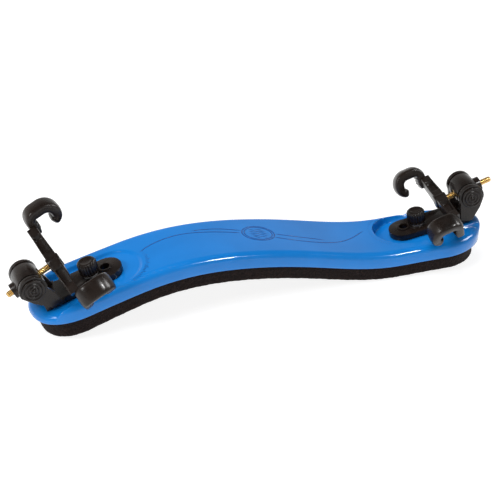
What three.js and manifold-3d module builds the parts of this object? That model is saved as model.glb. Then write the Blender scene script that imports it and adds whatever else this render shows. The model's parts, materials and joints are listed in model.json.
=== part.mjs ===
// Collapsible violin shoulder rest: a curved plastic body on a foam pad, with a folding,
// height-adjustable fork at each end. Millimetres, +X along the body, +Y away from the
// player's near edge, +Z up, origin under the middle of the whole object's box.
import * as THREE from 'three';
import { mergeVertices } from 'three/addons/utils/BufferGeometryUtils.js';
import Module from 'manifold-3d';

const wasm = await Module();
wasm.setup();

const GAP = 0.3; // clearance between pieces that touch or turn in each other

// Body, seen from above: a banana with rounded ends. Seen from the side: an S.
const HALF_LENGTH = 119.3;
const HALF_WIDTH = 20.4;
const END_ROUND = 24; // length of each rounded end
const LEFT_POWER = 2.3; // 2 is an ellipse, more is squarer
const RIGHT_POWER = 1.9;
const SWEEP = 9.4; // how far both tips swing towards -Y
const WALL = 7.8; // height of the body's edge
const SKIN = 3.2; // top thickness over the ribbed hollow
const FOAM = 8.3;
const FOAM_EXTRA = 1.8; // the pad thickens towards its left tip, from FOAM_EXTRA_START
const FOAM_EXTRA_START = -50;
const FOAM_ROUND = 19; // its ends are squarer than the body's
const OUTLINE_STEPS = 44;

// Side view of the top face: distance along X, height, slope in degrees.
const SPINE = [
  [-120, 16.4, 11.6],
  [-70, 26.5, 11.6],
  [-38, 29.9, 0.3],
  [20, 22.9, -11.8],
  [64, 16.1, 0],
  [82, 17.1, 4.1],
  [120, 19.8, 4.3],
];

// Each end's hardware sits on a flat floor sunk into the body, with its own tilt.
const FLOOR_DEPTH = 2;
const POCKET_RADIUS = 14.6;
const POCKET_CENTRE = 10;
const SLOT_HALF_WIDTH = 2.2;
const CHANNEL_HALF_WIDTH = 4.3; // for the bolt's square head
const PAD_HALF_WIDTH = 11; // of the raised pad where the floor runs out above the body
const HOLLOW_PITCH = 22;
const RIB_HALF = 1;
const FLOOR_THICKNESS = 1.6;
const TRAVEL_IN = 6;
const TRAVEL_OUT = 9;
const ENDS = {
  left: { side: 1, x: -88.8, offset: -1.9, tilt: 14.2, fold: 12, turn: 24, seat: 15, tail: 11.5, lean: 4 },
  right: { side: -1, x: 87.2, offset: 3.4, tilt: 12.4, fold: -8, turn: -3, seat: 14, tail: 14.5, lean: 0 },
};

// Bracket, knob and pivot, in the floor's frame: +X inward, +Z off the floor.
const PLATE_HALF_WIDTH = 8;
const PLATE_TOP = 3.5;
const FREE_HOLE = 7.6; // how far in the spare hole lies
const FREE_HOLE_RADIUS = 2.4;
const COLLAR_RADIUS = 3.4;
const BOLT_RADIUS = 1.5;
const BOLT_HEAD_HALF = 3.7;
const BOLT_HEAD_HEIGHT = 1.3;
const WASHER_RADIUS = 3.8;
const INSERT_RADIUS = 2.7;
const KNOB_RADIUS = 4.8;
const FLUTES = 20;
const FLUTE_DEPTH = 0.45;
const KNOB_BASE = 4.9;
const KNOB_TOP = 11.8;
const PIVOT_X = -28.3;
const PIVOT_Z = 15.1;
const PIVOT_RADIUS = 6.7;
const BOSS_RADIUS = 3.8; // round boss on the drum, facing the fork
const BARREL_HALF = 5.9;
const EAR_INNER = 6.9;
const EAR_OUTER = 9.3;
const PLUG_RADIUS = 2.2;
const PLUG_INNER = 3.1; // each stub pin stops short of the shank
const CAP_RADIUS = 5.6;
const CAP_THICKNESS = 0.7;
const CAP_STEP_RADIUS = 3.2;
const SHANK_RADIUS = 1.55;
const BUSH_RADIUS = 2.5;

// Fork, in its own frame: +X along the shank, Y from claw to claw, mouths open to -Z.
const BAR_HALF_WIDTH = 2.7;
const BAR_HALF_HEIGHT = 3.4;
const RECESS_START = 5.2; // four recesses leave the bar an I in section
const RECESS_END = 16.4;
const RECESS_HALF_WIDTH = 1.6;
const WEB_HALF_HEIGHT = 1.3;
const HUB_RADIUS = 3.5;
const HUB_HALF_LENGTH = 3.3;
const TONGUE_START = 17;
const CLAW_Y = 25.6;
const CLAW_Z = 0.7;
const CLAW_TILT = 23; // degrees; the claws follow the curve of the violin's edge
const CLAW_HALF_WIDTH = 4.6;
const CLAW_HALF_THICKNESS = 2.4;
const CORE_HALF_WIDTH = 3;
const CORE_HALF_THICKNESS = 1.1;
const SEAT_X = 1.3; // middle of the strip under the violin's edge
const SEAT_START = -5.6;
const BEND_RADIUS = 4; // from the seat up to the outer wall
const WALL_Z = 4.9;
const WALL_X = 9; // where the wall ends and the hook starts
const HOOK_RADIUS = 5.6;
const TIP_RADIUS = 3.4;
const HOOK_ANGLE = -18; // degrees at which the hook tightens
const TIP_ANGLE = -70;

const materials = {
  blue: () => new THREE.MeshStandardMaterial({ color: 0x2f86dd, roughness: 0.28, metalness: 0 }),
  foam: () => new THREE.MeshStandardMaterial({ color: 0x2a1f1c, roughness: 0.95, metalness: 0 }),
  black: () => new THREE.MeshStandardMaterial({ color: 0x1b1a1a, roughness: 0.5, metalness: 0 }),
  rubber: () => new THREE.MeshStandardMaterial({ color: 0x171514, roughness: 0.45, metalness: 0 }),
  brass: () => new THREE.MeshStandardMaterial({ color: 0xc19a4a, roughness: 0.3, metalness: 1 }),
  steel: () => new THREE.MeshStandardMaterial({ color: 0x9a9ca0, roughness: 0.35, metalness: 1 }),
  nylon: () => new THREE.MeshStandardMaterial({ color: 0x201e1d, roughness: 0.6, metalness: 0 }),
};

// ---- Solids ----

function manifoldFrom(geometry) {
  const bare = geometry.clone();
  bare.deleteAttribute('normal');
  bare.deleteAttribute('uv');
  const merged = mergeVertices(bare, 1e-4);
  const index = Array.from(merged.index.array);
  const faces = [];
  for (let i = 0; i < index.length; i += 3) {
    const [a, b, c] = index.slice(i, i + 3);
    if (a !== b && b !== c && c !== a) faces.push(a, b, c);
  }
  return new wasm.Manifold(new wasm.Mesh({
    numProp: 3,
    vertProperties: new Float32Array(merged.attributes.position.array),
    triVerts: new Uint32Array(faces),
  }));
}

function geometryFrom(manifold) {
  const mesh = manifold.getMesh();
  const geometry = new THREE.BufferGeometry();
  geometry.setAttribute('position', new THREE.BufferAttribute(Float32Array.from(mesh.vertProperties), 3));
  geometry.setIndex(Array.from(mesh.triVerts));
  geometry.computeVertexNormals();
  return geometry;
}

function joined(...geometries) {
  return geometries.map(manifoldFrom).reduce((whole, piece) => whole.add(piece));
}

function cut(whole, ...geometries) {
  return geometries.map(manifoldFrom).reduce((left, piece) => left.subtract(piece), whole);
}

function box(x0, x1, y0, y1, z0, z1) {
  const geometry = new THREE.BoxGeometry(x1 - x0, y1 - y0, z1 - z0);
  return geometry.translate((x0 + x1) / 2, (y0 + y1) / 2, (z0 + z1) / 2);
}

function rodX(radius, x0, x1, sides = 24) {
  const geometry = new THREE.CylinderGeometry(radius, radius, x1 - x0, sides);
  return geometry.rotateZ(-Math.PI / 2).translate((x0 + x1) / 2, 0, 0);
}

function rodY(radius, y0, y1, sides = 32) {
  const geometry = new THREE.CylinderGeometry(radius, radius, y1 - y0, sides);
  return geometry.translate(0, (y0 + y1) / 2, 0);
}

function rodZ(radius, z0, z1, sides = 24) {
  const geometry = new THREE.CylinderGeometry(radius, radius, z1 - z0, sides);
  return geometry.rotateX(Math.PI / 2).translate(0, 0, (z0 + z1) / 2);
}

// A ring-shaped piece about Z, from inner and outer radius and two heights.
function ringZ(inner, outer, z0, z1, sides = 28) {
  const profile = [[inner, z0], [outer, z0], [outer, z1], [inner, z1], [inner, z0]];
  const geometry = new THREE.LatheGeometry(profile.map(([r, z]) => new THREE.Vector2(r, z)), sides);
  return geometry.rotateX(Math.PI / 2);
}

// A flat outline in XY, raised from z0 to z1.
function slab(shape, z0, z1) {
  const settings = { depth: z1 - z0, bevelEnabled: false, curveSegments: 16 };
  const geometry = new THREE.ExtrudeGeometry(shape, settings);
  return geometry.translate(0, 0, z0);
}

// An outline in XZ, extruded along Y from y0 to y1.
function sideSlab(shape, y0, y1) {
  return slab(shape, -y1, -y0).rotateX(Math.PI / 2);
}

// A long outline with its inner end round about (centre, 0) and its outer end square.
function tongueShape(outer, centre, radius) {
  const shape = new THREE.Shape();
  shape.moveTo(outer, -radius);
  shape.lineTo(centre, -radius);
  shape.absarc(centre, 0, radius, -Math.PI / 2, Math.PI / 2, false);
  shape.lineTo(outer, radius);
  return shape;
}

// ---- Body outline ----

function spineHeight(x) {
  const last = SPINE.length - 2;
  const found = SPINE.findIndex((station, i) => i <= last && x <= SPINE[i + 1][0]);
  const i = found < 0 ? last : found;
  const [x0, z0, slope0] = SPINE[i];
  const [x1, z1, slope1] = SPINE[i + 1];
  const run = x1 - x0;
  const t = (x - x0) / run;
  const rise0 = Math.tan(THREE.MathUtils.degToRad(slope0)) * run;
  const rise1 = Math.tan(THREE.MathUtils.degToRad(slope1)) * run;
  return z0 * (2 * t ** 3 - 3 * t ** 2 + 1) + rise0 * (t ** 3 - 2 * t ** 2 + t)
    + z1 * (3 * t ** 2 - 2 * t ** 3) + rise1 * (t ** 3 - t ** 2);
}

function sweepPower(x) {
  return x < 0 ? 2.6 : 2;
}

function spineSide(x) {
  return -SWEEP * Math.abs(x / HALF_LENGTH) ** sweepPower(x);
}

function spineHeading(x) {
  const step = 0.5;
  return (spineSide(x + step) - spineSide(x - step)) / (2 * step);
}

function taper(distance, round, power) {
  const inside = THREE.MathUtils.clamp(1 - distance / round, 0, 1);
  return (1 - inside ** power) ** (1 / power);
}

// One closed loop round the body, inset from its sides and tips and dropped from the top.
function loop({ side = 0, left = side, right = side, round = END_ROUND, drop, extra = 0 }) {
  const x0 = -HALF_LENGTH + left;
  const x1 = HALF_LENGTH - right;
  const far = [];
  const near = [];
  for (let i = 0; i <= OUTLINE_STEPS; i += 1) {
    const x = (x0 + x1) / 2 + (x1 - x0) / 2 * Math.sin(Math.PI * (i / OUTLINE_STEPS - 0.5));
    const ends = taper(x - x0, round, LEFT_POWER) * taper(x1 - x, round, RIGHT_POWER);
    const half = (HALF_WIDTH - side) * ends;
    const heading = spineHeading(x);
    const across = new THREE.Vector2(-heading, 1).normalize().multiplyScalar(half);
    const thickening = THREE.MathUtils.smoothstep(-x, -FOAM_EXTRA_START, HALF_LENGTH) * extra;
    const z = spineHeight(x) - drop - thickening;
    far.push([x + across.x, spineSide(x) + across.y, z]);
    near.push([x - across.x, spineSide(x) - across.y, z]);
  }
  return [...far, ...near.slice(1, -1).reverse()];
}

// A solid skinned over loops listed from the bottom up, closed by a top and a bottom face.
function plank(insets) {
  const loops = insets.map(loop);
  const count = 2 * OUTLINE_STEPS;
  const faces = [];
  for (let k = 0; k + 1 < loops.length; k += 1) {
    for (let j = 0; j < count; j += 1) {
      const next = (j + 1) % count;
      const low = k * count;
      const high = low + count;
      faces.push(low + j, high + j, high + next, low + j, high + next, low + next);
    }
  }
  const nearIndex = (i) => (i === 0 || i === OUTLINE_STEPS ? i : count - i);
  for (let i = 0; i < OUTLINE_STEPS; i += 1) {
    const [a, b, c, d] = [nearIndex(i), nearIndex(i + 1), i + 1, i];
    const top = (loops.length - 1) * count;
    faces.push(top + a, top + b, top + c, top + a, top + c, top + d);
    faces.push(c, b, a, d, c, a);
  }
  const geometry = new THREE.BufferGeometry();
  geometry.setAttribute('position', new THREE.Float32BufferAttribute(loops.flat(2), 3));
  geometry.setIndex(faces);
  return geometry;
}

// The frame of one end's floor: origin under the knob, +X inward, +Z off the floor.
function floorFrame({ side, x, offset, tilt }) {
  const slope = Math.tan(THREE.MathUtils.degToRad(tilt));
  const along = new THREE.Vector3(1, spineHeading(x), slope).normalize();
  const across = new THREE.Vector3(0, 0, 1).cross(along).normalize();
  const up = along.clone().cross(across);
  const origin = new THREE.Vector3(x, spineSide(x), spineHeight(x) - FLOOR_DEPTH);
  origin.addScaledVector(across, offset);
  along.multiplyScalar(side);
  across.multiplyScalar(side);
  return new THREE.Matrix4().makeBasis(along, across, up).setPosition(origin);
}

// ---- Body and foam ----

function hollowCells() {
  const cells = [];
  const beyond = 1.5 * HALF_WIDTH;
  for (let x = -55; x < 60; x += HOLLOW_PITCH) {
    for (const side of [-1, 1]) {
      const middle = spineSide(x + HOLLOW_PITCH / 2);
      const [y0, y1] = [middle + side * RIB_HALF, middle + side * beyond].sort((a, b) => a - b);
      cells.push(box(x + RIB_HALF, x + HOLLOW_PITCH - RIB_HALF, y0, y1, -20, 60));
    }
  }
  return cells.map(manifoldFrom).reduce((whole, cell) => whole.add(cell));
}

function bodyShell() {
  let shell = manifoldFrom(plank([
    { side: 0, drop: WALL },
    { side: 0, drop: 2.4 },
    { side: 0.7, drop: 0.7 },
    { side: 2.4, drop: 0 },
  ]));
  const raised = plank([{ side: 2.2, drop: 3 }, { side: 2.2, drop: -6 }]);
  const pad = box(PIVOT_X - 12, 12, -PAD_HALF_WIDTH, PAD_HALF_WIDTH, -8, 0);
  pad.applyMatrix4(floorFrame(ENDS.right));
  shell = shell.add(manifoldFrom(raised).intersect(manifoldFrom(pad)));
  const hollow = manifoldFrom(plank([{ side: 3, drop: WALL + 2 }, { side: 3, drop: SKIN }]));
  shell = shell.subtract(hollow.intersect(hollowCells()));
  for (const end of Object.values(ENDS)) {
    const frame = floorFrame(end);
    const pocket = slab(tongueShape(PIVOT_X - 14, POCKET_CENTRE, POCKET_RADIUS), 0, 20);
    const track = (half, z0, z1) => box(-TRAVEL_OUT - half, TRAVEL_IN + half, -half, half, z0, z1);
    const slot = track(SLOT_HALF_WIDTH, -12, 1);
    const channel = track(CHANNEL_HALF_WIDTH, -16, -FLOOR_THICKNESS);
    shell = cut(shell, ...[pocket, slot, channel].map((piece) => piece.applyMatrix4(frame)));
  }
  return geometryFrom(shell);
}

function foamPad() {
  const bottom = WALL + FOAM;
  return geometryFrom(manifoldFrom(plank([
    { side: 3, left: 5.6, right: 4, round: FOAM_ROUND, drop: bottom, extra: FOAM_EXTRA },
    { side: 2.1, left: 4.6, right: 3, round: FOAM_ROUND, drop: bottom - 1.4, extra: FOAM_EXTRA },
    { side: 2.1, left: 4.6, right: 3, round: FOAM_ROUND, drop: WALL + GAP },
  ])));
}

// ---- Bracket, clamp and pivot ----

// An ear's outline in XZ; its foot lies further in by lean.
function earShape(lean) {
  const shape = new THREE.Shape();
  shape.moveTo(PIVOT_X + 7.2 + lean, 2);
  shape.lineTo(PIVOT_X + 6.6 + lean / 2, PIVOT_Z - 6);
  shape.absarc(PIVOT_X, PIVOT_Z, PIVOT_RADIUS, -0.35, Math.PI + 0.25, false);
  shape.lineTo(PIVOT_X - 4 + lean / 2, PIVOT_Z - 7);
  shape.lineTo(PIVOT_X + 0.8 + lean, 2);
  return shape;
}

function bracket({ lean }) {
  const plate = slab(tongueShape(PIVOT_X + 2, FREE_HOLE, PLATE_HALF_WIDTH), GAP, PLATE_TOP);
  const heel = PIVOT_X + lean;
  const foot = box(heel + 0.8, heel + 7.6, -EAR_OUTER, EAR_OUTER, 1.6, PLATE_TOP);
  const ears = [[EAR_INNER, EAR_OUTER], [-EAR_OUTER, -EAR_INNER]].map(([y0, y1]) => (
    sideSlab(earShape(lean), y0, y1)
  ));
  const collar = rodZ(COLLAR_RADIUS, PLATE_TOP - 1, PLATE_TOP + 0.8).translate(FREE_HOLE, 0, 0);
  const whole = joined(plate, foot, ...ears, collar);
  const pivotHole = rodY(PLUG_RADIUS + GAP, -20, 20, 20).translate(PIVOT_X, 0, PIVOT_Z);
  const freeHole = rodZ(FREE_HOLE_RADIUS, -5, 10, 20).translate(FREE_HOLE, 0, 0);
  const tailNotch = box(PIVOT_X, PIVOT_X + 4.5, -2.6, 2.6, -1, 6);
  return geometryFrom(cut(whole, pivotHole, freeHole, rodZ(BOLT_RADIUS + GAP, -5, 10, 20), tailNotch));
}

function clampBolt() {
  const half = BOLT_HEAD_HALF;
  const top = -FLOOR_THICKNESS - GAP;
  const head = box(-half, half, -half, half, top - BOLT_HEAD_HEIGHT, top);
  return geometryFrom(joined(head, rodZ(BOLT_RADIUS, -FLOOR_THICKNESS - 1, KNOB_TOP - 2.4, 16)));
}

function knobWasher() {
  return ringZ(BOLT_RADIUS + GAP, WASHER_RADIUS, PLATE_TOP + GAP, KNOB_BASE - GAP);
}

function knobInsert() {
  return ringZ(BOLT_RADIUS + GAP, INSERT_RADIUS, KNOB_BASE + GAP, KNOB_TOP - 2.2, 20);
}

function thumbKnob() {
  const outline = [];
  for (let i = 0; i < 2 * FLUTES; i += 1) {
    const angle = Math.PI * i / FLUTES;
    const radius = i % 2 ? KNOB_RADIUS - FLUTE_DEPTH : KNOB_RADIUS;
    outline.push(new THREE.Vector2(radius * Math.cos(angle), radius * Math.sin(angle)));
  }
  const grip = slab(new THREE.Shape(outline), KNOB_BASE, KNOB_TOP - 0.8);
  const crown = new THREE.CylinderGeometry(KNOB_RADIUS - 1.4, KNOB_RADIUS - 0.5, 1, 28);
  crown.rotateX(Math.PI / 2).translate(0, 0, KNOB_TOP - 0.5);
  return geometryFrom(cut(joined(grip, crown), rodZ(INSERT_RADIUS + GAP, KNOB_BASE - 1, KNOB_TOP - 1.9)));
}

function pivotPlug(side) {
  const face = EAR_OUTER + GAP;
  const stem = rodY(PLUG_RADIUS, PLUG_INNER, face + CAP_THICKNESS, 20);
  const head = rodY(CAP_RADIUS, face, face + CAP_THICKNESS);
  const step = rodY(CAP_STEP_RADIUS, face + CAP_THICKNESS / 2, face + CAP_THICKNESS + 0.4);
  const plug = joined(stem, head, step);
  return geometryFrom(side > 0 ? plug : plug.rotate([0, 0, 180]));
}

function pivotWasher(side) {
  const washer = ringZ(PLUG_RADIUS + GAP, CAP_RADIUS, BARREL_HALF + GAP, EAR_INNER - GAP);
  return washer.rotateX(-side * Math.PI / 2);
}

// ---- Fork ----

function pivotBarrel() {
  const boss = rodX(BOSS_RADIUS, -8.4, -3, 28);
  const whole = joined(rodY(PIVOT_RADIUS, -BARREL_HALF, BARREL_HALF, 40), boss);
  const bushBore = rodX(BUSH_RADIUS + GAP, -12, 12);
  return geometryFrom(cut(whole, bushBore, rodY(PLUG_RADIUS + GAP, -20, 20, 20)));
}

function barrelBush() {
  return ringZ(SHANK_RADIUS + GAP, BUSH_RADIUS, -6, 8).rotateY(-Math.PI / 2);
}

function shank({ seat, tail }) {
  return rodX(SHANK_RADIUS, -tail, seat + 1.2, 20);
}

// The middle line of a claw: seat, wall and hooked lip, in XZ.
function clawPath() {
  const hookAngle = THREE.MathUtils.degToRad(HOOK_ANGLE);
  const tipAngle = THREE.MathUtils.degToRad(TIP_ANGLE);
  const tighter = HOOK_RADIUS - TIP_RADIUS;
  const tipX = WALL_X + tighter * Math.cos(hookAngle);
  const tipZ = WALL_Z - HOOK_RADIUS + tighter * Math.sin(hookAngle);
  const path = new THREE.Path();
  path.moveTo(SEAT_X, SEAT_START);
  path.lineTo(SEAT_X, WALL_Z - BEND_RADIUS);
  path.absarc(SEAT_X + BEND_RADIUS, WALL_Z - BEND_RADIUS, BEND_RADIUS, Math.PI, Math.PI / 2, true);
  path.lineTo(WALL_X, WALL_Z);
  path.absarc(WALL_X, WALL_Z - HOOK_RADIUS, HOOK_RADIUS, Math.PI / 2, hookAngle, true);
  path.absarc(tipX, tipZ, TIP_RADIUS, hookAngle, tipAngle, true);
  return path;
}

// A strip along the claw's middle line with a round nose, as an outline in XZ.
function clawShape(halfThickness) {
  const path = clawPath();
  const steps = 24;
  const outer = [];
  const inner = [];
  for (let i = 0; i <= steps; i += 1) {
    const point = path.getPointAt(i / steps);
    const across = path.getTangentAt(i / steps).rotateAround(new THREE.Vector2(), Math.PI / 2);
    outer.push(point.clone().addScaledVector(across, halfThickness));
    inner.unshift(point.clone().addScaledVector(across, -halfThickness));
  }
  const tip = path.getPointAt(1);
  const start = path.getTangentAt(1).angle() + Math.PI / 2;
  const nose = [];
  for (let i = 1; i < 5; i += 1) {
    const angle = start - Math.PI * i / 5;
    nose.push(new THREE.Vector2(Math.cos(angle), Math.sin(angle)).multiplyScalar(halfThickness).add(tip));
  }
  return new THREE.Shape([...outer, ...nose, ...inner]);
}

// Moves a shape from a claw's own frame to the fork's.
function atClaw(side, geometry) {
  geometry.rotateX(-side * THREE.MathUtils.degToRad(CLAW_TILT));
  return geometry.translate(0, side * CLAW_Y, CLAW_Z);
}

function clawStrip(side, halfThickness, halfWidth) {
  return atClaw(side, sideSlab(clawShape(halfThickness), -halfWidth, halfWidth));
}

function armTongue(side, clearance) {
  const [start, end] = [side * TONGUE_START, side * CLAW_Y].sort((a, b) => a - b);
  const half = CORE_HALF_THICKNESS + clearance;
  return box(SEAT_X - half, SEAT_X + half, start, end, -1.9 - clearance, 1.9 + clearance);
}

// The crossbar, with both ends cut to lie flush with the claws' inner sides.
function crossbar() {
  const [halfX, halfZ] = [BAR_HALF_WIDTH, BAR_HALF_HEIGHT];
  const whole = manifoldFrom(box(-halfX, halfX, -CLAW_Y, CLAW_Y, -halfZ, halfZ));
  const beyond = [-1, 1].map((side) => {
    const [y0, y1] = [-side * (CLAW_HALF_WIDTH + GAP), side * CLAW_Y].sort((a, b) => a - b);
    return atClaw(side, box(-9, 9, y0, y1, -20, 20));
  });
  return cut(whole, ...beyond);
}

function yoke() {
  const parts = [rodX(HUB_RADIUS, -HUB_HALF_LENGTH, HUB_HALF_LENGTH, 28)];
  for (const side of [-1, 1]) {
    parts.push(armTongue(side, 0));
    parts.push(clawStrip(side, CORE_HALF_THICKNESS, CORE_HALF_WIDTH));
  }
  const recesses = [rodX(SHANK_RADIUS + GAP, -8, 1.5, 20)];
  for (const side of [-1, 1]) {
    for (const face of [-1, 1]) {
      const [y0, y1] = [side * RECESS_START, side * RECESS_END].sort((a, b) => a - b);
      const [z0, z1] = [face * WEB_HALF_HEIGHT, face * 5].sort((a, b) => a - b);
      recesses.push(box(-RECESS_HALF_WIDTH, RECESS_HALF_WIDTH, y0, y1, z0, z1));
    }
  }
  return geometryFrom(cut(crossbar().add(joined(...parts)), ...recesses));
}

function clawSleeve(side) {
  const outer = manifoldFrom(clawStrip(side, CLAW_HALF_THICKNESS, CLAW_HALF_WIDTH));
  const core = clawStrip(side, CORE_HALF_THICKNESS + GAP, CORE_HALF_WIDTH + GAP);
  return geometryFrom(cut(outer, core, armTongue(side, GAP)));
}

// ---- Assembly ----

function add(parent, name, geometry, material) {
  const mesh = new THREE.Mesh(geometry, material());
  mesh.name = name;
  parent.add(mesh);
}

function endAssembly(name, end) {
  const { black, rubber, brass, steel, nylon } = materials;
  const floor = new THREE.Group();
  floor.applyMatrix4(floorFrame(end));
  add(floor, `${name}_bracket`, bracket(end), black);
  add(floor, `${name}_clamp_bolt`, clampBolt(), steel);
  add(floor, `${name}_knob_washer`, knobWasher(), steel);
  add(floor, `${name}_knob_insert`, knobInsert(), brass);
  add(floor, `${name}_thumb_knob`, thumbKnob(), black);

  const pivot = new THREE.Group();
  pivot.position.set(PIVOT_X, 0, PIVOT_Z);
  floor.add(pivot);
  for (const [label, side] of [['near', -end.side], ['far', end.side]]) {
    add(pivot, `${name}_${label}_pivot_plug`, pivotPlug(side), black);
    add(pivot, `${name}_${label}_pivot_washer`, pivotWasher(side), nylon);
  }

  const folding = new THREE.Group();
  folding.rotation.y = -THREE.MathUtils.degToRad(end.fold);
  pivot.add(folding);
  add(folding, `${name}_pivot_barrel`, pivotBarrel(), black);
  add(folding, `${name}_barrel_bush`, barrelBush(), brass);
  add(folding, `${name}_shank`, shank(end), brass);

  const fork = new THREE.Group();
  fork.position.x = end.seat;
  fork.rotation.x = THREE.MathUtils.degToRad(end.turn);
  folding.add(fork);
  add(fork, `${name}_yoke`, yoke(), black);
  for (const [label, side] of [['near', -end.side], ['far', end.side]]) {
    add(fork, `${name}_${label}_claw_sleeve`, clawSleeve(side), rubber);
  }
  return floor;
}

const rest = new THREE.Group();
add(rest, 'body_shell', bodyShell(), materials.blue);
add(rest, 'foam_pad', foamPad(), materials.foam);
for (const [name, end] of Object.entries(ENDS)) rest.add(endAssembly(name, end));

rest.updateMatrixWorld(true);
const bounds = new THREE.Box3().setFromObject(rest, true);
rest.position.set(-(bounds.min.x + bounds.max.x) / 2, -(bounds.min.y + bounds.max.y) / 2, -bounds.min.z);

export default rest;
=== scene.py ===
# Looks of the violin shoulder rest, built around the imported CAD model.
# Shapes are worked out in millimetres, in the frames that the record's joints give, and kept in metres.
import json
import math

import bmesh
import bpy
import numpy as np
from mathutils import Matrix, Vector


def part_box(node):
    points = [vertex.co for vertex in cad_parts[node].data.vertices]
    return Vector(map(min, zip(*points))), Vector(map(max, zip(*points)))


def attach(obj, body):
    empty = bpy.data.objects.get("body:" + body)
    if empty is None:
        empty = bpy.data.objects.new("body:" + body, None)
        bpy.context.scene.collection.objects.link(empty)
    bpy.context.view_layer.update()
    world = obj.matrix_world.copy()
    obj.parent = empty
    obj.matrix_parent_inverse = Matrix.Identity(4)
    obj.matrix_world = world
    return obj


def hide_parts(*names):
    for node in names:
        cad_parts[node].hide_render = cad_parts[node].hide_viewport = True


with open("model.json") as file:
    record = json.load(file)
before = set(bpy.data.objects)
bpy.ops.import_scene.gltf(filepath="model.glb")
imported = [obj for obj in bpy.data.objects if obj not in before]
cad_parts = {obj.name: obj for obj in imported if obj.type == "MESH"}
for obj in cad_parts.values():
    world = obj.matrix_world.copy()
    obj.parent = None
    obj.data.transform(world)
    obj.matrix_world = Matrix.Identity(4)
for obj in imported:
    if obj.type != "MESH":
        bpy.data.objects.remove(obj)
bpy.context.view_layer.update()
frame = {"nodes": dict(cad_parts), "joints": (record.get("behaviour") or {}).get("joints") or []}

MM = 0.001
SIDES = ("left", "right")
JOINTS = {joint["name"]: joint for joint in frame["joints"]}

# ---- Sizes, in millimetres, as in the CAD design ----

GAP = 0.3  # clearance between pieces that touch or turn in each other

# Body, seen from above: a banana with rounded ends. Seen from the side: an S.
HALF_LENGTH = 119.3
HALF_WIDTH = 20.4
END_ROUND = 24  # length of each rounded end
LEFT_POWER, RIGHT_POWER = 2.3, 1.9  # of the ends' outline; 2 is an ellipse, more is squarer
SWEEP = 9.4  # how far both tips swing towards -Y
LEFT_SWEEP_POWER, RIGHT_SWEEP_POWER = 2.6, 2
WALL = 7.8  # height of the body's edge
FOAM = 8.3
FOAM_EXTRA, FOAM_EXTRA_START = 1.8, -50  # the pad thickens towards its left tip
FOAM_ROUND = 19  # its ends are squarer than the body's
# Side view of the top face: distance along X, height, slope in degrees.
SPINE = (
    (-120, 16.4, 11.6),
    (-70, 26.5, 11.6),
    (-38, 29.9, 0.3),
    (20, 22.9, -11.8),
    (64, 16.1, 0),
    (82, 17.1, 4.1),
    (120, 19.8, 4.3),
)

# Each end's hardware sits on a flat floor sunk into the body, with its own tilt.
LEFT_X, LEFT_OFFSET = -88.8, -1.9  # the left floor's place along and across the spine
FLOOR_DEPTH = 2
POCKET_CENTRE, POCKET_RADIUS = 10, 14.6
PAD_HALF_WIDTH = 11  # of the raised pad where the floor runs out above the body
SLOT_BOX = ((-11.2, 8.2), (-2.2, 2.2), (-1.7, 1))  # through the floor, for the bolt
CHANNEL_BOX = ((-13.4, 10.4), (-4.3, 4.3), (-16, -1.6))  # under the floor, for its head

# Knob, plugs and shank.
KNOB_RADIUS, KNOB_BASE, KNOB_TOP = 4.8, 4.9, 11.8
KNOB_BORE, KNOB_ROOF = 3, 1.9
FLUTES = 20
EAR_OUTER = 9.3
PLUG_RADIUS, PLUG_INNER = 2.2, 3.1  # each stub pin stops short of the shank
CAP_RADIUS = 5.6
SHANK_RADIUS = 1.55
SHANK_ENDS = {"left": (-11.5, 16.2), "right": (-14.5, 15.2)}

# Fork, in its own frame: +X along the shank, Y from claw to claw, mouths open to -Z.
FORK_TURN = {"left": 24, "right": -3}  # how far each fork is turned about its shank at rest
BAR_END = 22  # the bar is longer than it shows and is cut back to the claws
BAR_HALF_WIDTH, BAR_HALF_HEIGHT = 2.7, 3.4
BAR_TIP_HALF_WIDTH, BAR_TIP_HALF_HEIGHT = 2.45, 3.1
BAR_TAPER_START, BAR_TAPER_END = 4, 17
RECESS_START, RECESS_END = 5.2, 16.4  # four recesses leave the bar an I in section
HUB_RADIUS, HUB_HALF_LENGTH = 3.5, 3.3
SOCKET_RADIUS, SOCKET_START, SOCKET_END = 1.85, -8, 1.5
TONGUE_START, TONGUE_END = 17, 20.9
TONGUE_X, TONGUE_Z = (0.2, 2.4), (-1.9, 1.9)
CLAW_Y, CLAW_Z, CLAW_TILT = 25.6, 0.7, 23
CLAW_HALF_WIDTH, CLAW_HALF_THICKNESS = 4.6, 2.4
SEAT_X, SEAT_START = 1.3, -5.6  # middle of the strip under the violin's edge
BEND_RADIUS = 4  # from the seat up to the outer wall
WALL_X, WALL_Z = 9, 4.9  # where the outer wall ends and the hook starts
HOOK_RADIUS, TIP_RADIUS = 5.6, 3.4
HOOK_ANGLE, TIP_ANGLE = -18, -70  # degrees at which the hook tightens and ends

# ---- Fine shape, in millimetres, which only this script has ----

EDGE_WIDTH, EDGE_DROP = 3.9, 3.1  # of the body's rounded rim
FOOT_INSET, FOOT_RISE = 0.25, 0.4  # of the body's eased lower edge
FOOT_ROWS = 2
MIDDLE_GAP = 0.3  # from the top face's last row to its middle line
RIM_STEPS, TOP_STEPS, OUTLINE_STEPS = 10, 56, 430
ROUND_LOSS = 0.85  # how much shorter the rounded end gets per millimetre of inset
POCKET_LIP = 0.8  # half the width of the pocket's soft wall
POCKET_FROM = 55  # no pocket lies closer to the middle than this

FOAM_STEPS = 300
FOAM_INSET, FOAM_ROUND_LOSS = 2.1, 0.7
FOAM_LEFT_GAP, FOAM_RIGHT_GAP = 2.5, 0.9  # how much further in its two tips lie

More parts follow.
